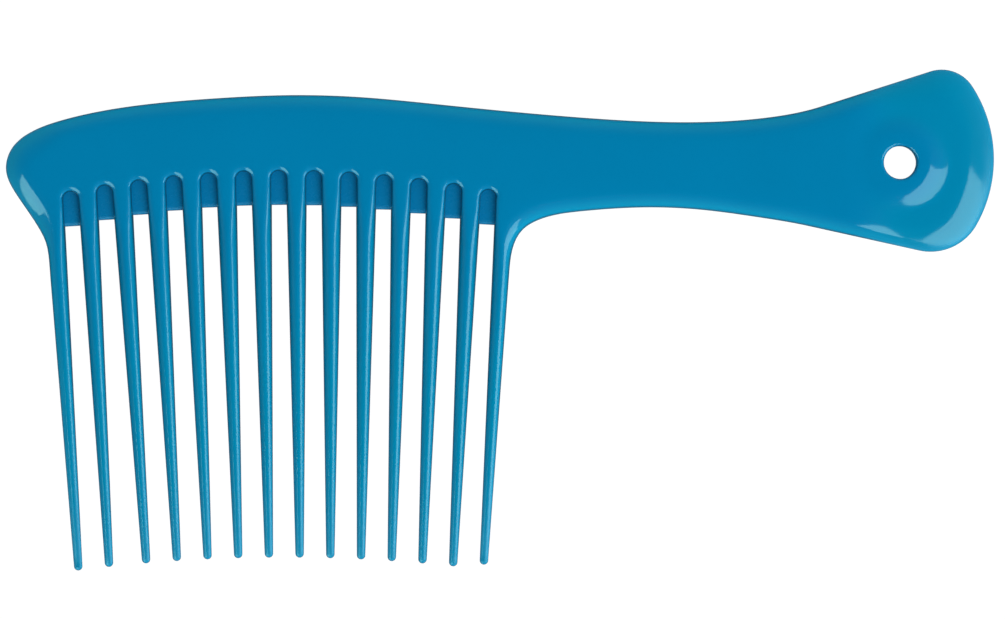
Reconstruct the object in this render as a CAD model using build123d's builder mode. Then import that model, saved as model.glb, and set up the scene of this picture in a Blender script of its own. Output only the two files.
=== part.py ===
from build123d import *
from math import hypot, sqrt
import os

# Wide tooth rake comb with a handle, lying flat. It is one plastic moulding, divided here into its
# handle, spine, root web and teeth, which meet face to face.
# +X runs from the nose of the spine to the end of the handle, the teeth point to -Y, and +Z goes up
# through the thickness. The origin is the middle of the bounding box's underside. Millimetres.

# Overall
LENGTH = 230.0
THICKNESS = 6.0
MID_Z = THICKNESS / 2
EDGE_R = 2.4  # rounding of the outer edge, on both faces
END_X = LENGTH / 2
SEAM_X = 18.0  # where the spine stops and the handle starts

# Back of the spine, from the nose to the straight side of the flared handle end
NOSE = (-END_X, 35.4)
CREST = (-48.7, 52.3)
WAIST_TOP = (41.0, 46.0)
FLARE_TOP = (74.7, 49.65)
BACK = [NOSE, (-113.5, 40.1), (-109.2, 43.7), (-102.2, 46.4), (-88.0, 49.4), (-67.0, 51.5), CREST,
        (-32.0, 51.8), (-13.8, 50.1), (20.0, 47.0), WAIST_TOP, (62.0, 47.05), FLARE_TOP]

# Flared end of the handle: two straight sides, a round end and two round corners
END_MIDDLE = (END_X, 37.35)
TOP_CORNER = (105.7, 59.6)
LOW_CORNER = (104.95, 14.5)
TOP_CORNER_R = 8.5
LOW_CORNER_R = 12.3
FLARE_LOW = (72.0, 21.8)
HOLE_CENTRE = (93.1, 36.6)
HOLE_R = 3.85
HOLE_RIM_R = 0.6

# Underside of the handle and the heel that runs down into the last tooth
WAIST_LOW = (32.8, 26.15)
HEEL_FOOT = (2.1, 10.0)
UNDERSIDE = [FLARE_LOW, (60.0, 23.9), (46.0, 25.7), WAIST_LOW, (18.8, 25.25), (9.5, 23.45),
             (4.9, 20.55), (2.7, 15.5), HEEL_FOOT]

# Underside of the nose, which runs down into the first tooth
NOSE_FOOT = (-104.6, 9.2)
NOSE_SIDE = [NOSE_FOOT, (-105.0, 14.3), (-105.7, 18.0), (-107.3, 21.3), (-112.3, 28.8), NOSE]

# Rows of the comb. The arch centres, the web's free edge and the tips lie on arcs about x = ROW_X
ROW_X = -50.3
WEB_EDGE_Y = 26.75
WEB_EDGE_R = 249.0
WEB_DROP = 6.2  # from the arch centres to the web's free edge
ROOT_R = WEB_EDGE_R + WEB_DROP
ROW_Y = WEB_EDGE_Y - WEB_EDGE_R  # centre of the root and web arcs
TIP_Y = -55.35
TIP_ROW_R = 382.0
WEB_THICKNESS = 1.8
ARCH_R = 1.7
ARCH_RIM_R = 0.5

# Teeth, numbered from the nose. They close up a little towards their tips
TEETH = 14
GAUGE_Y = 18.5  # height at which the root pitch and width are stated
FIRST_ROOT_X = -103.25
ROOT_PITCH = 8.0
FIRST_TIP_X = -96.6
TIP_PITCH = 7.14
SPLAYED_TEETH = 2  # the teeth nearest the nose stand apart from the rest at their tips
SPLAY = 1.5
LAST_TOOTH_SHORT = 1.2
ROOT_WIDTH = 4.35
TIP_WIDTH = 1.9
GAUGE_THICKNESS = 5.0
TIP_THICKNESS = 1.8
CORNER_SHARE = 0.42  # corner radius of a tooth's section, as a share of its width
TIP_ROUND = 0.7
OVERRUN = 17.0  # how far a tooth is drawn above GAUGE_Y before it is cut to the root line

# How much wider than plain the end teeth are, at heights above GAUGE_Y, on their outer sides
NOSE_FLARE = [(OVERRUN, 8.6), (5.8, 3.2), (2.3, 1.5), (0.0, 0.65), (-5.0, 0.0)]
HEEL_FLARE = [(OVERRUN, 8.0), (2.8, 2.3), (0.0, 0.55), (-5.5, 0.0)]

# The root line leaves its arc in the last tooth and drops square to the heel
HEEL_TURN_X = 0.2
HEEL_CUT = (8.0, 18.75)
FAR = 130.0  # beyond the comb on every side
CLEAR = 1.0  # how far a cutting block passes the faces


def row_y(x, apex_y, radius):
    """Height of a row's arc at x."""
    return apex_y - radius + sqrt(radius**2 - (x - ROW_X) ** 2)


ROOT_APEX_Y = WEB_EDGE_Y + WEB_DROP


def tooth_ends(number):
    """Point on the tooth's centre line at GAUGE_Y, and its tip."""
    step = number - 1
    tip_x = FIRST_TIP_X + TIP_PITCH * step
    if number <= SPLAYED_TEETH:
        tip_x -= SPLAY
    tip_y = row_y(tip_x, TIP_Y, TIP_ROW_R)
    if number == TEETH:
        tip_y += LAST_TOOTH_SHORT
    gauge = Vector(FIRST_ROOT_X + ROOT_PITCH * step, GAUGE_Y, MID_Z)
    return gauge, Vector(tip_x, tip_y, MID_Z)


def arch_centre(number):
    """Centre of the arch between a tooth and the next one, on the root arc."""
    gauge, tip = [(a + b) * 0.5 for a, b in zip(tooth_ends(number), tooth_ends(number + 1))]
    up = (gauge - tip).normalized()
    from_row = gauge - Vector(ROW_X, ROW_Y, MID_Z)
    along = from_row.dot(up)
    rise = sqrt(along**2 - from_row.length**2 + ROOT_R**2) - along
    return gauge + up * rise


def section_plane(gauge, tip, above, shift=0.0):
    """Plane across a tooth at a distance above GAUGE_Y, moved sideways by shift. Local x is +X."""
    down = (tip - gauge).normalized()
    across = Vector(-down.Y, down.X, 0)
    return Plane(gauge - down * above + across * shift, x_dir=across, z_dir=down)


def section_size(gauge, tip, above):
    """Width and thickness of a plain tooth at a distance above GAUGE_Y."""
    share = -above / (tip - gauge).length
    width = ROOT_WIDTH + (TIP_WIDTH - ROOT_WIDTH) * share
    thickness = GAUGE_THICKNESS + (TIP_THICKNESS - GAUGE_THICKNESS) * share
    return width, min(thickness, THICKNESS)


def make_tooth(number):
    """One tooth. The first and last flare outwards at the root, into the nose and the heel."""
    gauge, tip = tooth_ends(number)
    flare, side = {1: (NOSE_FLARE, -1), TEETH: (HEEL_FLARE, 1)}.get(
        number, ([(OVERRUN, 0.0), (0.0, 0.0)], 1))
    with BuildPart() as tooth:
        for above, extra in flare:
            width, thickness = section_size(gauge, tip, above)
            with BuildSketch(section_plane(gauge, tip, above, side * extra / 2)):
                RectangleRounded(width + extra, thickness, CORNER_SHARE * width)
        loft(ruled=len(flare) == 2)
        for above in (flare[-1][0], -(tip - gauge).length):
            width, thickness = section_size(gauge, tip, above)
            with BuildSketch(section_plane(gauge, tip, above)):
                RectangleRounded(width, thickness, CORNER_SHARE * width)
        loft(ruled=True)
        fillet(tooth.faces().sort_by(Axis.Y)[0].edges(), TIP_ROUND)
        add(teeth_zone.part, mode=Mode.INTERSECT)
    return tooth


# Everything below the root line
root_left = Vector(-FAR, row_y(-FAR, ROOT_APEX_Y, ROOT_R))
root_turn = Vector(HEEL_TURN_X, row_y(HEEL_TURN_X, ROOT_APEX_Y, ROOT_R))
root_top = Vector(ROW_X, ROOT_APEX_Y)
with BuildPart() as teeth_zone:
    with BuildSketch(Plane.XY.offset(-CLEAR)):
        with BuildLine():
            ThreePointArc(root_left, root_top, root_turn)
            Polyline(root_turn, HEEL_CUT, (HEEL_CUT[0], -FAR), (-FAR, -FAR), root_left)
        make_face()
    extrude(amount=THICKNESS + 2 * CLEAR)

# Outline of the spine and the handle together, closed by a straight line across the teeth
top_side = (Vector(TOP_CORNER) - Vector(FLARE_TOP)).normalized()
low_side = (Vector(FLARE_LOW) - Vector(LOW_CORNER)).normalized()
with BuildPart() as blank:
    with BuildSketch() as silhouette:
        with BuildLine():
            Spline(*BACK, tangents=[(0, 1), top_side], tangent_scalars=[1, 1])
            Line(FLARE_TOP, TOP_CORNER)
            ThreePointArc(TOP_CORNER, END_MIDDLE, LOW_CORNER)
            Line(LOW_CORNER, FLARE_LOW)
            Spline(*UNDERSIDE, tangents=[low_side, (-0.08, -1)], tangent_scalars=[1, 1])
            Line(HEEL_FOOT, NOSE_FOOT)
            Spline(*NOSE_SIDE, tangents=[(-0.08, 1), (0, 1)], tangent_scalars=[1, 1])
        make_face()
        for corner, radius in ((TOP_CORNER, TOP_CORNER_R), (LOW_CORNER, LOW_CORNER_R)):
            fillet(silhouette.vertices().sort_by_distance(corner)[0], radius)
    extrude(amount=THICKNESS)
    rims = blank.edges().group_by(Axis.Z)[0] + blank.edges().group_by(Axis.Z)[-1]
    fillet([e for e in rims if e.center().Y > NOSE_SIDE[1][1]], EDGE_R)

with BuildPart() as handle:
    add(blank.part)
    split(bisect_by=Plane.YZ.offset(SEAM_X), keep=Keep.TOP)
    with Locations((*HOLE_CENTRE, THICKNESS)):
        Hole(HOLE_R)
    mouths = handle.edges().filter_by(GeomType.CIRCLE)
    fillet([e for e in mouths if abs(e.radius - HOLE_R) < 0.01], HOLE_RIM_R)
handle.part.label = "handle"

arch_centres = [arch_centre(number) for number in range(1, TEETH)]
with BuildPart() as spine:
    add(blank.part)
    split(bisect_by=Plane.YZ.offset(SEAM_X), keep=Keep.BOTTOM)
    add(teeth_zone.part, mode=Mode.SUBTRACT)
    for face_z, inward in ((0, 1), (THICKNESS, -1)):
        with BuildSketch(Plane.XY.offset(face_z)):
            with Locations(*[(c.X, c.Y) for c in arch_centres]):
                Circle(ARCH_R)
        extrude(amount=inward * (THICKNESS - WEB_THICKNESS) / 2, mode=Mode.SUBTRACT)
    rims = spine.edges().group_by(Axis.Z)[0] + spine.edges().group_by(Axis.Z)[-1]
    arches = [e for e in rims if e.geom_type == GeomType.CIRCLE and abs(e.radius - ARCH_R) < 0.01]
    fillet(arches, ARCH_RIM_R)
spine.part.label = "spine"

teeth = [make_tooth(number) for number in range(1, TEETH + 1)]
for number, tooth in enumerate(teeth, start=1):
    tooth.part.label = f"tooth_{number:02d}"

# Thin panels that tie the tooth roots together below the arches
with BuildPart() as root_web:
    with BuildSketch(Plane.XY.offset(MID_Z - WEB_THICKNESS / 2)):
        with BuildLine():
            free_edge = ThreePointArc(*[(x, row_y(x, WEB_EDGE_Y, WEB_EDGE_R))
                                        for x in (FIRST_ROOT_X, ROW_X, HEEL_TURN_X)])
            Polyline(free_edge @ 1, (HEEL_TURN_X, FAR), (FIRST_ROOT_X, FAR), free_edge @ 0)
        make_face()
    extrude(amount=WEB_THICKNESS)
    add(teeth_zone.part, mode=Mode.INTERSECT)
    for tooth in teeth:
        add(tooth.part, mode=Mode.SUBTRACT)
root_web.part.label = "root_web"

os.makedirs("parts", exist_ok=True)
for piece in [handle, spine, root_web, *teeth]:
    export_step(piece.part, f"parts/{piece.part.label}.step")
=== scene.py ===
import math

import bmesh
import bpy
import numpy as np
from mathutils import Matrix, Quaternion, Vector
from mathutils.geometry import delaunay_2d_cdt


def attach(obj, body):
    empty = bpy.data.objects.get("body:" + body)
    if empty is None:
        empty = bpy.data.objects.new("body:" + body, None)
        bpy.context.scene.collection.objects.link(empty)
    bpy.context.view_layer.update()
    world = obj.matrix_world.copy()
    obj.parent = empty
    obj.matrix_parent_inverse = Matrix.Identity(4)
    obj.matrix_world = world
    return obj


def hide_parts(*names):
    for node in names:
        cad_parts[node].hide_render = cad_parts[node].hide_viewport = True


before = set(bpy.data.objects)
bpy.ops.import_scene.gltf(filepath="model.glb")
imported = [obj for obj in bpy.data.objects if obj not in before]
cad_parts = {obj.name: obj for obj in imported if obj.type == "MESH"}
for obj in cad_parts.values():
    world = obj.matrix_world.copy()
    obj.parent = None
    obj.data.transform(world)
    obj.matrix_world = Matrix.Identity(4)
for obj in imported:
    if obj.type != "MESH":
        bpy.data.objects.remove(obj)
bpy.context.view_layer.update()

# Looks of the wide tooth comb. Lengths are in millimetres in the frame's axes, and become metres
# when a mesh is made. The surfaces are drawn as one smooth moulding and then cut into the frame's
# nodes, so that no seam shows between them.
MM = 0.001

# ---------------------------------------------------------------- body
MID_Z = 3.0  # height of the parting plane
BODY_H = 2.98  # half thickness of the body
SEAM_X = 18.0  # where the spine ends and the handle begins
CROWN = 0.16  # how much lower the faces are at their edges
CROWN_WIDTH = 8.0

EDGE_WIDTH = 4.2  # width of the rolled edge round the body
PADDLE_EDGE_WIDTH = 8.0  # and round the flared end
NOSE_EDGE_WIDTH = 6.3  # and round the nose
PADDLE_EDGE_FROM = (84.0, 108.0)  # where the rolled edge widens
NOSE_EDGE_FROM = (-103.0, -110.0)

PADDLE_DROP = 0.95  # how much thinner the flared end is round its outside
PADDLE_STEP = (6.0, 12.0)  # distances from the hole's centre over which it drops
PADDLE_START = (80.0, 94.0)  # and where along the handle it begins to

# Outline. Each curve runs through its points, and a corner is where two straight sides would meet.
NOSE = (-115.0, 35.4)
NOSE_SIDE = [(-104.6, 9.2), (-105.0, 14.3), (-105.7, 18.0), (-107.3, 21.3), (-112.3, 28.8), NOSE]
BACK = [NOSE, (-113.5, 40.1), (-109.2, 43.7), (-102.2, 46.4), (-88.0, 49.4), (-67.0, 51.5),
        (-48.7, 52.3), (-32.0, 51.8), (-13.8, 50.1), (20.0, 47.0), (41.0, 46.0), (62.0, 47.05),
        (74.7, 49.65)]
END_MIDDLE = (115.0, 37.35)
TOP_CORNER = (105.7, 59.6)
LOW_CORNER = (104.95, 14.5)
TOP_CORNER_R = 8.5
LOW_CORNER_R = 12.3
UNDERSIDE = [(72.0, 21.8), (60.0, 23.9), (46.0, 25.7), (32.8, 26.15), (18.8, 25.25), (9.5, 23.45),
             (4.9, 20.55), (2.7, 15.5), (2.1, 10.0)]
NOSE_RISE = (-0.08, 1.0)  # direction of the outline beside the first tooth
HEEL_FALL = (-0.08, -1.0)  # and beside the last one
UPWARDS = (0.0, 1.0)  # and at the nose

HOLE = (93.1, 36.6)
HOLE_R = 3.85
HOLE_RIM = 0.7  # radius of its rounded mouths

# ---------------------------------------------------------------- teeth
TEETH = 14
GAUGE_Y = 18.5  # line on which the roots are evenly spaced
FIRST_ROOT_X = -103.25
ROOT_PITCH = 8.0
FIRST_TIP_X = -96.6
TIP_PITCH = 7.14
SPLAY = 1.5  # how much further out the first tips stand
SPLAYED = 2  # number of teeth that splay
LAST_TOOTH_SHORT = 1.2
TIP_WIDTH = 1.98
TIP_H = 0.85  # half thickness at the tips
TAPER = 1.1  # power by which the teeth grow thinner along their length

ROW_X = -50.3  # middle of the arcs on which tips, arches and panels stand
TIP_Y = -55.35
TIP_ROW_R = 382.0
WEB_EDGE_Y = 26.75
WEB_EDGE_R = 249.0
ARCH_ABOVE_WEB = 6.2
ARCH_R = 1.65

WEB_H = 0.9  # half thickness of the panels between the roots
WEB_EDGE = 0.15  # rounding of their free edges
EMBED = 0.25  # how far they run into the teeth and the arches

# ---------------------------------------------------------------- rolled edges and mesh lines
# Where the mesh lines lie across a rolled edge, as shares of its width
RINGS = np.array([0, 0.006, 0.025, 0.06, 0.11, 0.18, 0.27, 0.38, 0.51, 0.66, 0.83, 1.0])
# The rim of the pockets: a drafted wall, a crisp edge and a gentle crown, as distances from the wall's
# foot, at their sides and at an arch's top, and as shares of the height of the face
SLOT_RIM = np.array([0, 0.06, 0.14, 0.24, 0.34, 0.42, 0.5, 0.6, 0.78, 1.1, 1.5, 2.0])
ARCH_RIM = np.array([0, 0.05, 0.12, 0.2, 0.3, 0.4, 0.52, 0.7, 0.95, 1.3, 1.65, 2.0])
SLOT_RISE = np.array([0, 0.22, 0.45, 0.66, 0.79, 0.845, 0.885, 0.92, 0.95, 0.978, 0.995, 1.0])
HOLE_RINGS = [HOLE_RIM * t for t in RINGS] + [1.3, 2.2, 3.4]  # distances from the wall of the hole

ROUND_BY = 0.17  # share of a tooth's length by which its section is fully round
TOOTH_ROLL = 0.49  # rolled edge of a tooth, as a share of its width
ROOT_ROLL = 0.70  # and the most it may be at the nose and at the heel

STEP = 0.8  # spacing of points along an outline
ARCH_STEPS = 18
TOOTH_MIDDLES = 3  # mesh lines between the two rolled edges of a tooth
TOOTH_ROWS = 56
TIP_ANGLES = np.radians([15, 30, 45, 60, 73, 83])
HOLE_STEPS = 64
FACE_GRID = 1.3  # spacing of points on the faces
FACE_Y = (14.0, 60.0)  # reach of those points
TRIANGLE = 0.866  # height of an even-sided triangle
CLEARANCE = 0.55  # least distance from an edge, as a share of the spacing
SEAM_STEPS = 13
PANEL_EDGE = np.radians([0, 22, 45, 68, 90])
PANEL_ROWS = 6
PANEL_TOP = np.radians([15, 30, 45, 60, 75, 88])
PANEL_COLUMNS = 9
TINY = 1e-6

# ---------------------------------------------------------------- plastic
FACE_COLOUR = (0.0, 0.38, 0.78)
THIN_COLOUR = (0.0, 0.44, 0.79)
# painted shade: steep walls and the rims at the outline are mixed towards this dark colour
WALL_SHADE_COLOUR = (0.0, 0.10, 0.20)
# painted shade: the panels deep in the pockets get a darker colour than the faces
PANEL_SHADE_COLOUR = (0.0, 0.335, 0.745)
PLASTIC_IOR = 1.5
THIN_AT, THICK_AT = 0.55, 0.97  # shares of the body's half thickness
WALL_SHADE_FROM, WALL_SHADE_TO = 0.65, 0.25  # upward part of the normal, from a slope to a wall
MOTTLE_SCALE, MOTTLE = 45, (0.96, 1.04)  # faint change in brightness
GRAIN_SCALE, POLISH = 700, (0.05, 0.10)  # roughness of the polished faces
PARTING_SHARE, PARTING_DULL = 0.5, 0.5  # added roughness near the parting plane
RIPPLE_SCALE, RIPPLE, RIPPLE_DEPTH = 300, 0.1, 0.00002

# ---------------------------------------------------------------- stage, in metres
FLOOR_HALF = 3.0
FLOOR_DROP = 0.0005
FLOOR_GREY = 0.06
FLOOR_ROUGHNESS = 0.7
FLOOR_SPECULAR = 0.2
FLOOR_GLOW = 1.0
MIDDLE = (0.0, 0.0, 0.0)
PADDLE = (0.106, 0.028, 0.0)
NOSE_END = (-0.105, 0.03, 0.0)
WHITE = (1.0, 1.0, 1.0)
SKY = [(0.45, 0.10), (0.55, 0.36), (0.8, 0.36), (0.993, 0.03)]  # level from below to above, brightness
SKY_TINT = (0.4, 1.0, 1.0)
BACKDROP = (0.9, 0.9, 0.9)
CAMERA = (0.0006, 0.0024, 1.6277)
LENS = 250


# ---------------------------------------------------------------- plane geometry
def unit(v):
    return v / np.hypot(*v)


def left_of(v):
    return np.array([-v[1], v[0]])


def smooth(x, low, high):
    t = np.clip((x - low) / (high - low), 0, 1)
    return t * t * (3 - 2 * t)


def spline(points, start, end):
    """Evenly spaced points on a smooth curve through points, with given directions at its ends."""
    p = np.array(points, float)
    chord = np.hypot(*np.diff(p, axis=0).T)
    n = len(p)
    system = np.eye(n)
    goal = np.zeros((n, 2))
    goal[0], goal[-1] = unit(np.array(start, float)), unit(np.array(end, float))
    for i in range(1, n - 1):
        before, after = chord[i - 1], chord[i]
        system[i, i - 1:i + 2] = after, 2 * (before + after), before
        goal[i] = 3 * (after * (p[i] - p[i - 1]) / before + before * (p[i + 1] - p[i]) / after)
    slope = np.linalg.solve(system, goal)
    out = []
    for i, h in enumerate(chord):
        for t in np.linspace(0, 1, max(2, math.ceil(h / STEP)), endpoint=False):
            out.append((2 * t**3 - 3 * t**2 + 1) * p[i] + (t**3 - 2 * t**2 + t) * h * slope[i]
                       + (3 * t**2 - 2 * t**3) * p[i + 1] + (t**3 - t**2) * h * slope[i + 1])
    return out + [p[-1]]


def line(a, b):
    a, b = np.array(a, float), np.array(b, float)
    steps = max(2, math.ceil(np.hypot(*(b - a)) / STEP))
    return [a + (b - a) * t for t in np.linspace(0, 1, steps)]


def arc(centre, a, b):
    """Points on the shorter arc round centre from a to b."""
    centre = np.array(centre, float)
    first = math.atan2(*(a - centre)[::-1])
    turn = (math.atan2(*(b - centre)[::-1]) - first + math.pi) % (2 * math.pi) - math.pi
    r = np.hypot(*(a - centre))
    angles = first + turn * np.linspace(0, 1, max(3, math.ceil(abs(turn) * r / STEP)))
    return [centre + r * np.array([math.cos(t), math.sin(t)]) for t in angles]


def circle_through(*points):
    """Centre and radius of the circle through three points."""
    a, b, c = (np.array(v, float) for v in points)
    centre = np.linalg.solve(2 * np.array([b - a, c - a]), [b @ b - a @ a, c @ c - a @ a])
    return centre, np.hypot(*(a - centre))


def round_corner(start, corner, big_centre, big_r, r):
    """Centre and both ends of a corner arc between a straight side and the round end."""
    start, corner, big_centre = (np.array(v, float) for v in (start, corner, big_centre))
    along = unit(corner - start)
    inward = left_of(along)
    if inward @ (big_centre - corner) < 0:
        inward = -inward
    rel = corner + inward * r - big_centre
    b = rel @ along
    back = -b + math.sqrt(b**2 - rel @ rel + (big_r - r) ** 2)
    centre = corner + inward * r + along * back
    return centre, centre - inward * r, big_centre + unit(centre - big_centre) * big_r


def distance(points, path):
    """Distance from each point to a path of straight segments."""
    points = np.atleast_2d(points)
    best = np.full(len(points), np.inf)
    for a, b in zip(path, path[1:]):
        side = b - a
        t = np.clip((points - a) @ side / max(side @ side, 1e-12), 0, 1)
        best = np.minimum(best, np.hypot(*(points - a - t[:, None] * side).T))
    return best


def inside(points, loop):
    """Which points lie inside a closed loop."""
    x, y = points.T
    hit = np.zeros(len(points), bool)
    for (ax, ay), (bx, by) in zip(loop, np.roll(loop, -1, axis=0)):
        if ay != by:
            crosses = (ay > y) != (by > y)
            hit ^= crosses & (x < ax + (y - ay) * (bx - ax) / (by - ay))
    return hit


def side_path(points):
    """Function giving a point on a path at a share of its length."""
    points = np.array(points)
    length = np.concatenate([[0], np.cumsum(np.hypot(*np.diff(points, axis=0).T))])
    return lambda s: np.array([np.interp(s * length[-1], length, points[:, k]) for k in (0, 1)])


# ---------------------------------------------------------------- plan of the comb
def row_y(x, apex_y, radius):
    """Height of one of the arcs on which the tips and the panels' free edges stand."""
    return apex_y - radius + math.sqrt(radius**2 - (x - ROW_X) ** 2)


def tooth_axis(number):
    """Point on the tooth's centre line at GAUGE_Y, and its tip."""
    tip_x = FIRST_TIP_X + TIP_PITCH * (number - 1) - (SPLAY if number <= SPLAYED else 0)
    tip_y = row_y(tip_x, TIP_Y, TIP_ROW_R) + (LAST_TOOTH_SHORT if number == TEETH else 0)
    return np.array([FIRST_ROOT_X + ROOT_PITCH * (number - 1), GAUGE_Y]), np.array([tip_x, tip_y])


def tip_ends(number):
    """Left and right points where a tooth's sides meet its round tip, and the tip's centre."""
    gauge, tip = tooth_axis(number)
    down = unit(tip - gauge)
    across = left_of(down)
    centre = tip - down * TIP_WIDTH / 2
    return centre - across * TIP_WIDTH / 2, centre + across * TIP_WIDTH / 2, centre


def gap_arch(number):
    """Centre of the arch between a tooth and the next one, and the direction across the gap."""
    gauge, tip = ((a + b) / 2 for a, b in zip(tooth_axis(number), tooth_axis(number + 1)))
    up = unit(gauge - tip)
    rel = gauge - np.array([ROW_X, WEB_EDGE_Y - WEB_EDGE_R])
    along = rel @ up
    rise = math.sqrt(along**2 - rel @ rel + (WEB_EDGE_R + ARCH_ABOVE_WEB) ** 2) - along
    return gauge + up * rise, -left_of(up)


def body_outline():
    """The outline from the foot of the nose, over the back and round the handle, to the heel."""
    end_centre, end_r = circle_through(TOP_CORNER, END_MIDDLE, LOW_CORNER)
    top_c, top_a, top_b = round_corner(BACK[-1], TOP_CORNER, end_centre, end_r, TOP_CORNER_R)
    low_c, low_b, low_a = round_corner(UNDERSIDE[0], LOW_CORNER, end_centre, end_r, LOW_CORNER_R)
    top_side = np.array(TOP_CORNER) - BACK[-1]
    low_side = np.array(UNDERSIDE[0]) - low_b
    stretches = [spline(NOSE_SIDE, NOSE_RISE, UPWARDS), spline(BACK, UPWARDS, top_side),
                 line(BACK[-1], top_a), arc(top_c, top_a, top_b), arc(end_centre, top_b, low_a),
                 arc(low_c, low_a, low_b), line(low_b, UNDERSIDE[0]),
                 spline(UNDERSIDE, low_side, HEEL_FALL)]
    return np.array(stretches[0] + [p for stretch in stretches[1:] for p in stretch[1:]])


def nearest(target, among):
    """Index of the outline's point nearest target within a range."""
    return min(among, key=lambda i: np.hypot(*(outline[i] - target)))


def seam_row(on_back):
    """Row of the rolled edge at the seam between spine and handle, on the back or the underside."""
    rows = [i for i, point in enumerate(rim) if (point[1] > HOLE[1]) == on_back]
    return min(rows, key=lambda i: abs(rim[i][0] - SEAM_X))


outline = body_outline()
arches = [gap_arch(number) for number in range(1, TEETH)]
first_side = arches[0][0] - arches[0][1] * ARCH_R
last_side = arches[-1][0] + arches[-1][1] * ARCH_R
nose_at = nearest(first_side, range(len(outline) // 4))
heel_at = nearest(last_side, range(len(outline) * 3 // 4, len(outline)))
rim = outline[nose_at:heel_at + 1]
top_seam, low_seam = seam_row(True), seam_row(False)
whole_edge = np.concatenate([[tip_ends(1)[0]], outline, [tip_ends(TEETH)[1]]])


def body_height(points):
    """Half thickness of the moulding's faces, before their edges are rolled."""
    points = np.atleast_2d(points)
    h = BODY_H - CROWN * (1 - smooth(distance(points, whole_edge), 0, CROWN_WIDTH))
    from_hole = np.hypot(*(points - HOLE).T)
    return h - PADDLE_DROP * smooth(from_hole, *PADDLE_STEP) * smooth(points[:, 0], *PADDLE_START)


def rim_width(point):
    """Width of the rolled edge at a point of the outline."""
    paddle, nose = (float(smooth(point[0], *reach)) for reach in (PADDLE_EDGE_FROM, NOSE_EDGE_FROM))
    return EDGE_WIDTH + (PADDLE_EDGE_WIDTH - EDGE_WIDTH) * paddle + (NOSE_EDGE_WIDTH - EDGE_WIDTH) * nose


def roll(t):
    """Height across a rolled edge, from 0 at the parting line to 1 on the face."""
    return np.sqrt(np.clip(1 - (1 - np.asarray(t, float)) ** 2, 0, 1))


# ---------------------------------------------------------------- surfaces of the moulding
class Moulding:
    """Collects the faces of the upper half of the moulding, and the node of each face."""

    def __init__(self):
        self.points = []
        self.rise = []
        self.drop = []
        self.tip_height = {}
        self.index = {}
        self.faces = []

    def add(self, point, rise, drop=0.0, tip_height=None):
        """Index of a point. Rise is its height, as a share of the height of the face there. The face
        is lower than the body's by drop, or stands at tip_height."""
        key = round(float(point[0]), 3), round(float(point[1]), 3), drop == 0 and tip_height is None
        if key not in self.index:
            self.index[key] = len(self.points)
            if tip_height is not None:
                self.tip_height[len(self.points)] = tip_height
            self.points.append(np.array(point, float))
            self.rise.append(rise)
            self.drop.append(drop)
        return self.index[key]

    def face(self, node, *corners):
        corners = list(dict.fromkeys(corners))
        if len(corners) > 2:
            self.faces.append((node, corners))

    def grid(self, node, rows):
        """Joins rows of equally many indices. Node is a name, or a function of the row number."""
        for r, (one, two) in enumerate(zip(rows, rows[1:])):
            name = node(r) if callable(node) else node
            for a, b, c, d in zip(one, one[1:], two[1:], two):
                self.face(name, a, b, c, d)


def add_body_edge(moulding):
    """Rolled edge round the body. Returns its rows of points, each from the outline inwards."""
    tangent = np.gradient(rim, axis=0)
    inward = np.stack([tangent[:, 1], -tangent[:, 0]], axis=1)
    inward /= np.hypot(*inward.T)[:, None]
    inward[0], inward[-1] = unit(first_side - rim[0]), unit(last_side - rim[-1])
    rows = [[moulding.add(p + n * rim_width(p) * t, roll(t)) for t in RINGS] for p, n in zip(rim, inward)]
    moulding.grid(lambda row: "handle" if top_seam <= row < low_seam else "spine", rows)
    return rows


def tooth_sides(number):
    """Functions giving points on a tooth's left and right sides, from its root to its tip."""
    tip_left, tip_right, _ = tip_ends(number)
    if number == 1:
        left = [*outline[nose_at::-1], tip_left]
    else:
        centre, across = arches[number - 2]
        left = [centre + across * ARCH_R, tip_left]
    if number == TEETH:
        right = [*outline[heel_at:], tip_right]
    else:
        centre, across = arches[number - 1]
        right = [centre - across * ARCH_R, tip_right]
    return side_path(left), side_path(right)


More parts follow.
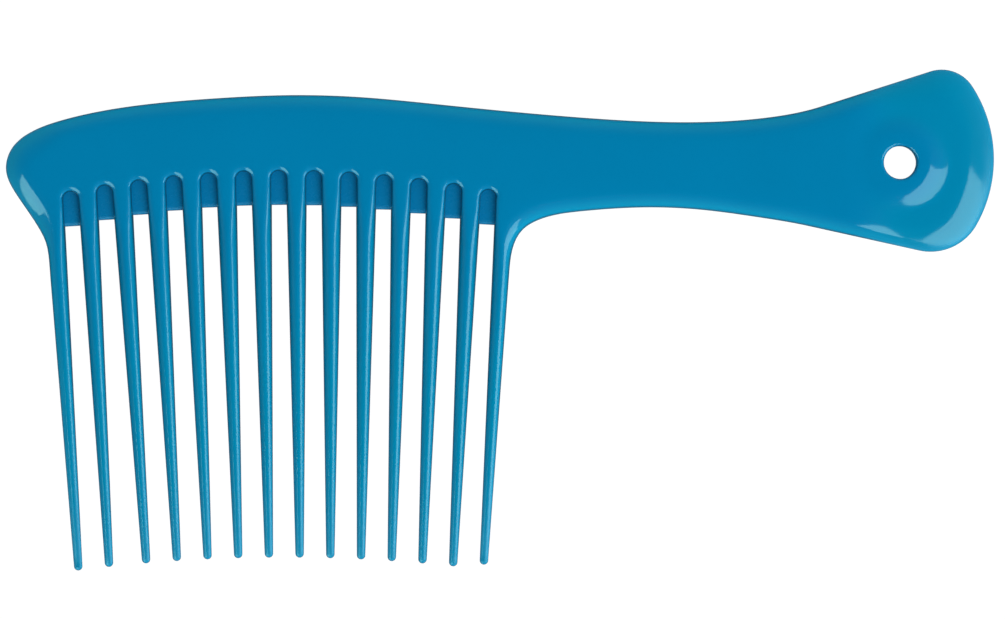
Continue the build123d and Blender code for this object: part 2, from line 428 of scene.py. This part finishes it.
def add_tooth(moulding, number):
    """A tooth with its round tip. Returns its first row, which the rims beside its root end in."""
    left, right = tooth_sides(number)
    rows = []
    for k in range(TOOTH_ROWS + 1):
        s = k / TOOTH_ROWS
        a, b = left(s), right(s)
        width = np.hypot(*(b - a))
        rounded = smooth(s, 0, ROUND_BY)
        plain = RINGS * TOOTH_ROLL * width, roll(RINGS)
        slot = [(1 - rounded) * sharp + rounded * soft for sharp, soft in zip((SLOT_RIM, SLOT_RISE), plain)]
        limit = (TOOTH_ROLL + (ROOT_ROLL - TOOTH_ROLL) * (1 - rounded) ** 2) * width
        outer_a, outer_b = ((RINGS * min(rim_width(p), limit), roll(RINGS)) for p in (a, b))
        in_a, rise_a = outer_a if number == 1 else slot
        in_b, rise_b = outer_b if number == TEETH else slot
        ray = (b - a) / width
        middles = np.linspace(in_a[-1], width - in_b[-1], TOOTH_MIDDLES + 2)[1:-1]
        drop = (BODY_H - TIP_H) * s**TAPER
        row = [moulding.add(a + ray * d, rise, drop) for d, rise in zip(in_a, rise_a)]
        row += [moulding.add(a + ray * w, 1.0, drop) for w in middles]
        row += [moulding.add(b - ray * d, rise, drop) for d, rise in zip(in_b[::-1], rise_b[::-1])]
        rows.append(row)
    first_row = rows[0]

    tip_left, tip_right, tip_centre = tip_ends(number)
    down = -left_of(unit(tip_right - tip_left))
    base = [(moulding.points[i] - tip_centre, moulding.rise[i]) for i in rows[-1]]
    for angle in TIP_ANGLES:
        squeeze, reach = math.cos(angle), math.sin(angle) * TIP_WIDTH / 2
        rows.append([moulding.add(tip_centre + v * squeeze + down * reach, rise, tip_height=TIP_H * squeeze)
                     for v, rise in base])
    end = moulding.add(tip_centre + down * TIP_WIDTH / 2, 0, tip_height=0.0)
    name = f"tooth_{number:02d}"
    moulding.grid(name, rows)
    for a, b in zip(rows[-1], rows[-1][1:]):
        moulding.face(name, a, b, end)
    return first_row


def add_arch(moulding, number, roots):
    """Rim of the arch after a tooth, which ends in the first rows of the teeth beside it."""
    centre, across = arches[number - 1]
    up = left_of(across)
    rows = [roots[number - 1][:-len(RINGS) - 1:-1]]
    for angle in np.linspace(math.pi, 0, ARCH_STEPS + 1)[1:-1]:
        ray = across * math.cos(angle) + up * math.sin(angle)
        offsets = SLOT_RIM + (ARCH_RIM - SLOT_RIM) * math.sin(angle)
        rows.append([moulding.add(centre + ray * (ARCH_R + d), rise) for d, rise in zip(offsets, SLOT_RISE)])
    rows.append(roots[number][:len(RINGS)])
    moulding.grid("spine", rows)
    return rows


def add_hole(moulding):
    """Rounded mouth of the hanging hole and the face close round it."""
    rows = []
    for step in range(HOLE_STEPS):
        angle = 2 * math.pi * step / HOLE_STEPS
        ray = np.array([math.cos(angle), math.sin(angle)])
        rows.append([moulding.add(HOLE + ray * (HOLE_R + d), roll(min(1.0, d / HOLE_RIM)))
                     for d in HOLE_RINGS])
    moulding.grid("handle", rows + rows[:1])
    return rows


def add_faces(moulding, rim_rows, roots, arch_rows, hole_rows):
    """The faces inside those edges, with mesh edges along the seam between spine and handle."""
    at = moulding.points
    loop = [row[-1] for row in rim_rows]
    loop += roots[-1][len(RINGS) - 1:-len(RINGS)][::-1]
    for arch, root in zip(arch_rows[::-1], roots[-2::-1]):
        loop += [row[-1] for row in arch][::-1]
        loop += root[len(RINGS):-len(RINGS)][::-1]
    loop = list(dict.fromkeys(loop))
    ring = [row[-1] for row in hole_rows]
    loop_xy, ring_xy = np.array([at[i] for i in loop]), np.array([at[i] for i in ring])
    top, low = rim_rows[top_seam][-1], rim_rows[low_seam][-1]
    seam_start, seam_side = at[top], at[low] - at[top]

    xs = np.arange(NOSE[0], END_MIDDLE[0], FACE_GRID)
    ys = np.arange(*FACE_Y, FACE_GRID * TRIANGLE)
    inner = np.array([(x + (j % 2) * FACE_GRID / 2, y) for j, y in enumerate(ys) for x in xs])
    inner = inner[inside(inner, loop_xy) & ~inside(inner, ring_xy)]
    edges_xy = (np.vstack([loop_xy, loop_xy[:1]]), np.vstack([ring_xy, ring_xy[:1]]),
                np.array([at[top], at[low]]))
    clear = np.min([distance(inner, path) for path in edges_xy], axis=0)
    inner = inner[clear > CLEARANCE * FACE_GRID]

    shares = np.linspace(0, 1, SEAM_STEPS + 1)[1:-1]
    seam = [moulding.add(seam_start + seam_side * t, 1.0) for t in shares]
    order = loop + ring + seam + [moulding.add(p, 1.0) for p in inner]
    slot_of = {i: k for k, i in enumerate(order)}
    edges = [(slot_of[a], slot_of[b]) for ids in (loop, ring) for a, b in zip(ids, ids[1:] + ids[:1])]
    chain = [top] + seam + [low]
    edges += [(slot_of[a], slot_of[b]) for a, b in zip(chain, chain[1:])]
    verts, _, triangles, origins, _, _ = delaunay_2d_cdt([Vector(at[i]) for i in order], edges, [], 0,
                                                         1e-5, True)
    ids = [order[o[0]] if o else moulding.add(v, 1.0) for v, o in zip(verts, origins)]
    centres = np.array([np.mean([verts[k] for k in t], axis=0) for t in triangles])
    wanted = inside(centres, loop_xy) & ~inside(centres, ring_xy)
    for triangle, (x, y), ok in zip(triangles, centres - seam_start, wanted):
        if ok:
            beyond = seam_side[0] * y - seam_side[1] * x > 0
            moulding.face("handle" if beyond else "spine", *[ids[k] for k in triangle])


def both_halves(moulding, bore):
    """Coordinates and faces of the whole moulding: the upper half, its mirror image and the bore."""
    points, rise = np.array(moulding.points), np.array(moulding.rise, float)
    face_h = body_height(points) - np.array(moulding.drop)
    for i, h in moulding.tip_height.items():
        face_h[i] = h
    height = face_h * rise
    in_hole = np.hypot(*(points - HOLE).T) < HOLE_R + HOLE_RIM + TINY
    height[in_hole] = (face_h - HOLE_RIM * (1 - rise))[in_hole]
    half = len(points)
    under = np.where(height < TINY, np.arange(half), np.arange(half) + half)
    xyz = np.vstack([np.column_stack([points, MID_Z + height]), np.column_stack([points, MID_Z - height])])

    faces = []
    for node, corners in moulding.faces:
        x, y = points[corners].T
        area = np.sum(x * np.roll(y, -1) - np.roll(x, -1) * y)
        upwards = corners if area > 0 else corners[::-1]
        faces.append((node, upwards))
        faces.append((node, [int(under[i]) for i in upwards[::-1]]))
    for a, b in zip(bore, bore[1:] + bore[:1]):
        faces.append(("handle", [a, int(under[a]), int(under[b]), b]))
    return xyz, faces


# ---------------------------------------------------------------- thin panels between the roots
def panel_rows(number):
    """Rows of points across the panel after a tooth, from its free edge up under the arch, with the
    half thickness at each row."""
    centre, across = arches[number - 1]
    up = left_of(across)
    gap_left, gap_right = tip_ends(number)[1], tip_ends(number + 1)[0]
    length = (centre - (gap_left + gap_right) / 2) @ up
    tip_half = (gap_right - gap_left) @ across / 2
    reach = ARCH_R + EMBED
    edge = row_y(centre[0], WEB_EDGE_Y, WEB_EDGE_R) - centre[1]

    alongs = [edge + WEB_EDGE * (1 - math.cos(a)) for a in PANEL_EDGE]
    halves = [WEB_H * math.sin(a) for a in PANEL_EDGE]
    alongs += list(np.linspace(edge + 1, 0, PANEL_ROWS)) + [reach * math.sin(a) for a in PANEL_TOP]
    halves += [WEB_H] * (len(alongs) - len(halves))
    rows = []
    for along in alongs:
        if along > 0:
            half_width = math.sqrt(reach**2 - along**2)
        else:
            half_width = ARCH_R + (tip_half - ARCH_R) * -along / length + EMBED
        rows.append([centre + up * along + across * half_width * u
                     for u in np.linspace(-1, 1, PANEL_COLUMNS)])
    return rows, halves


def panels():
    """Coordinates and faces of all the panels."""
    xyz, faces = [], []
    for number in range(1, TEETH):
        rows, halves = panel_rows(number)
        for side in (1, -1):
            start = len(xyz)
            xyz += [(*point, MID_Z + side * half) for row, half in zip(rows, halves) for point in row]
            for r in range(len(rows) - 1):
                for c in range(PANEL_COLUMNS - 1):
                    a = start + r * PANEL_COLUMNS + c
                    quad = [a, a + 1, a + PANEL_COLUMNS + 1, a + PANEL_COLUMNS]
                    faces.append(quad if side > 0 else quad[::-1])
    return np.array(xyz), faces


# ---------------------------------------------------------------- material
def glossy_plastic(name, stops):
    """Glossy moulded plastic. Its colour follows how far the surface stands from the parting plane, as
    stops of (share of the body's half thickness, colour), because thin plastic lets light through.
    Steep walls are painted darker: painted shade on the walls and a dark line along the outline."""
    material = bpy.data.materials.new(name)
    material.use_nodes = True
    nodes, links = material.node_tree.nodes, material.node_tree.links
    shader = nodes["Principled BSDF"]
    shader.inputs["IOR"].default_value = PLASTIC_IOR
    coordinates = nodes.new("ShaderNodeTexCoord")
    where = coordinates.outputs["Object"]

    def noise(scale, detail):
        node = nodes.new("ShaderNodeTexNoise")
        node.inputs["Scale"].default_value = scale
        node.inputs["Detail"].default_value = detail
        links.new(where, node.inputs["Vector"])
        return node.outputs["Fac"]

    def map_range(value, source=(0.0, 1.0), target=(0.0, 1.0)):
        node = nodes.new("ShaderNodeMapRange")
        for socket, number in zip(("From Min", "From Max", "To Min", "To Max"), (*source, *target)):
            node.inputs[socket].default_value = number
        links.new(value, node.inputs["Value"])
        return node.outputs["Result"]

    def maths(operation, value, number=0.0):
        node = nodes.new("ShaderNodeMath")
        node.operation = operation
        links.new(value, node.inputs[0])
        node.inputs[1].default_value = number
        return node.outputs[0]

    def height_of(vector):
        node = nodes.new("ShaderNodeSeparateXYZ")
        links.new(vector, node.inputs[0])
        return node.outputs["Z"]

    off_plane = maths("SUBTRACT", height_of(where), MID_Z * MM)
    depth = maths("DIVIDE", maths("ABSOLUTE", off_plane), BODY_H * MM)
    ramp = nodes.new("ShaderNodeValToRGB")
    ramp.color_ramp.interpolation = "EASE"
    for element, (position, colour) in zip(ramp.color_ramp.elements, stops):
        element.position = position
        element.color = (*colour, 1)
    links.new(depth, ramp.inputs["Fac"])

    # painted shade: the steeper the surface, the more its colour is mixed towards the dark wall colour
    upright = maths("ABSOLUTE", height_of(coordinates.outputs["Normal"]))
    wall = nodes.new("ShaderNodeMix")
    wall.data_type = "RGBA"
    links.new(map_range(upright, source=(WALL_SHADE_FROM, WALL_SHADE_TO)), wall.inputs["Factor"])
    links.new(ramp.outputs["Color"], wall.inputs["A"])
    wall.inputs["B"].default_value = (*WALL_SHADE_COLOUR, 1)
    tint = nodes.new("ShaderNodeHueSaturation")
    links.new(wall.outputs["Result"], tint.inputs["Color"])
    links.new(map_range(noise(MOTTLE_SCALE, 3.0), target=MOTTLE), tint.inputs["Value"])
    links.new(tint.outputs["Color"], shader.inputs["Base Color"])

    # the parting line is duller than the polished faces
    roughness = nodes.new("ShaderNodeMath")
    links.new(map_range(depth, (PARTING_SHARE, 0.0), (0.0, PARTING_DULL)), roughness.inputs[0])
    links.new(map_range(noise(GRAIN_SCALE, 2.0), target=POLISH), roughness.inputs[1])
    links.new(roughness.outputs[0], shader.inputs["Roughness"])
    bump = nodes.new("ShaderNodeBump")
    bump.inputs["Strength"].default_value = RIPPLE
    bump.inputs["Distance"].default_value = RIPPLE_DEPTH
    links.new(noise(RIPPLE_SCALE, 2.0), bump.inputs["Height"])
    links.new(bump.outputs["Normal"], shader.inputs["Normal"])
    return material


# ---------------------------------------------------------------- pieces
def make_mesh(name, xyz, polygons):
    """Smooth mesh of some faces in metres, and which of the points it uses."""
    used = sorted(set(i for polygon in polygons for i in polygon))
    where = {i: k for k, i in enumerate(used)}
    mesh = bpy.data.meshes.new(name)
    mesh.from_pydata([tuple(xyz[i] * MM) for i in used], [], [[where[i] for i in p] for p in polygons])
    mesh.update()
    for polygon in mesh.polygons:
        polygon.use_smooth = True
    return mesh, used


def whole_normals(xyz, faces):
    """Normal of the whole moulding's surface at each point, which its pieces share at their seams."""
    whole, used = make_mesh("whole", xyz, [corners for _, corners in faces])
    normals = np.zeros((len(xyz), 3))
    for i, vertex in zip(used, whole.vertices):
        normals[i] = vertex.normal
    bpy.data.meshes.remove(whole)
    return normals


def place_piece(name, mesh, material):
    piece = bpy.data.objects.new("comb_" + name, mesh)
    bpy.context.scene.collection.objects.link(piece)
    mesh.materials.append(material)
    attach(piece, "root")
    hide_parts(name)


upper = Moulding()
rim_rows = add_body_edge(upper)
roots = [add_tooth(upper, number) for number in range(1, TEETH + 1)]
arch_rows = [add_arch(upper, number, roots) for number in range(1, TEETH)]
hole_rows = add_hole(upper)
add_faces(upper, rim_rows, roots, arch_rows, hole_rows)
body_xyz, body_faces = both_halves(upper, [row[0] for row in hole_rows])
body_normals = whole_normals(body_xyz, body_faces)

plastic = glossy_plastic("comb_plastic", [(THIN_AT, THIN_COLOUR), (THICK_AT, FACE_COLOUR)])
# the panels' darker colour is painted shade of the pockets
shaded_panel_plastic = glossy_plastic("shaded_panel_plastic", [(0.0, PANEL_SHADE_COLOUR), (1.0, PANEL_SHADE_COLOUR)])

for name in ["handle", "spine"] + [f"tooth_{number:02d}" for number in range(1, TEETH + 1)]:
    mesh, used = make_mesh(name, body_xyz, [corners for node, corners in body_faces if node == name])
    mesh.normals_split_custom_set_from_vertices([tuple(body_normals[i]) for i in used])
    place_piece(name, mesh, plastic)

mesh, _ = make_mesh("root_web", *panels())
welder = bmesh.new()
welder.from_mesh(mesh)
bmesh.ops.remove_doubles(welder, verts=welder.verts, dist=TINY)
welder.to_mesh(mesh)
welder.free()
place_piece("root_web", mesh, shaded_panel_plastic)


# ---------------------------------------------------------------- stage, lights and camera
def add_floor():
    """Plain white floor that the comb rests on. The plastic doesn't mirror it."""
    material = bpy.data.materials.new("stage_white")
    material.use_nodes = True
    shader = material.node_tree.nodes["Principled BSDF"]
    shader.inputs["Base Color"].default_value = (FLOOR_GREY, FLOOR_GREY, FLOOR_GREY, 1)
    shader.inputs["Roughness"].default_value = FLOOR_ROUGHNESS
    shader.inputs["Specular IOR Level"].default_value = FLOOR_SPECULAR
    shader.inputs["Emission Color"].default_value = (*WHITE, 1)
    shader.inputs["Emission Strength"].default_value = FLOOR_GLOW
    mesh = bpy.data.meshes.new("stage_floor")
    corners = [(x * FLOOR_HALF, y * FLOOR_HALF, 0) for x, y in ((-1, -1), (1, -1), (1, 1), (-1, 1))]
    mesh.from_pydata(corners, [], [(0, 1, 2, 3)])
    mesh.materials.append(material)
    floor = bpy.data.objects.new("stage_floor", mesh)
    floor.location.z = -FLOOR_DROP
    floor.visible_glossy = False
    bpy.context.scene.collection.objects.link(floor)


def softbox(name, aim, azimuth, tilt, reach, size, radiance, colour=WHITE, spin=0, glossy=True):
    """A rectangular light facing aim, from a compass direction, tilted from straight overhead and turned
    about its own axis. It is seen by the mirrored part of a finish if glossy, else by the matt part."""
    az, ti = math.radians(azimuth), math.radians(tilt)
    toward = Vector((math.sin(ti) * math.cos(az), math.sin(ti) * math.sin(az), math.cos(ti)))
    data = bpy.data.lights.new(name, "AREA")
    data.shape = "RECTANGLE"
    data.size, data.size_y = size
    data.color = colour
    data.energy = radiance * math.pi * size[0] * size[1]
    light = bpy.data.objects.new(name, data)
    light.location = Vector(aim) + reach * toward
    facing = (Vector(aim) - light.location).to_track_quat("-Z", "Y")
    light.rotation_euler = (facing @ Quaternion((0, 0, 1), math.radians(spin))).to_euler()
    light.visible_camera = False
    light.visible_diffuse = not glossy
    light.visible_glossy = glossy
    bpy.context.scene.collection.objects.link(light)


def add_sky():
    """Soft surroundings, brightest near the horizon, behind a plain pale backdrop for the camera."""
    world = bpy.data.worlds.new("studio")
    bpy.context.scene.world = world
    world.use_nodes = True
    nodes, links = world.node_tree.nodes, world.node_tree.links
    direction = nodes.new("ShaderNodeSeparateXYZ")
    links.new(nodes.new("ShaderNodeTexCoord").outputs["Generated"], direction.inputs[0])
    level = nodes.new("ShaderNodeMapRange")
    level.inputs["From Min"].default_value = -1.0
    links.new(direction.outputs["Z"], level.inputs["Value"])
    ramp = nodes.new("ShaderNodeValToRGB")
    while len(ramp.color_ramp.elements) < len(SKY):
        ramp.color_ramp.elements.new(0.5)
    for element, (position, brightness) in zip(ramp.color_ramp.elements, SKY):
        element.position = position
        element.color = (*[brightness * tint for tint in SKY_TINT], 1)
    links.new(level.outputs["Result"], ramp.inputs["Fac"])
    seen = nodes.new("ShaderNodeMix")
    seen.data_type = "RGBA"
    links.new(nodes.new("ShaderNodeLightPath").outputs["Is Camera Ray"], seen.inputs["Factor"])
    links.new(ramp.outputs["Color"], seen.inputs["A"])
    seen.inputs["B"].default_value = (*BACKDROP, 1)
    links.new(seen.outputs["Result"], nodes["Background"].inputs["Color"])
    nodes["Background"].inputs["Strength"].default_value = 1.0


add_floor()
softbox("key", MIDDLE, azimuth=-30, tilt=42, reach=2.0, size=(2.0, 2.0), radiance=1.7, glossy=False)
softbox("card_right", PADDLE, azimuth=-42, tilt=41, reach=0.19, size=(0.155, 0.19), radiance=3.8,
        colour=(0.55, 1.0, 0.92), spin=16)
softbox("card_left", NOSE_END, azimuth=-128, tilt=52, reach=0.6, size=(0.42, 0.59), radiance=4.6,
        colour=(0.5, 1.0, 0.85))
add_sky()

camera_data = bpy.data.cameras.new("camera")
camera_data.lens = LENS
camera = bpy.data.objects.new("camera", camera_data)
camera.location = CAMERA
bpy.context.scene.collection.objects.link(camera)
bpy.context.scene.camera = camera
bpy.context.scene.view_settings.view_transform = "Standard"
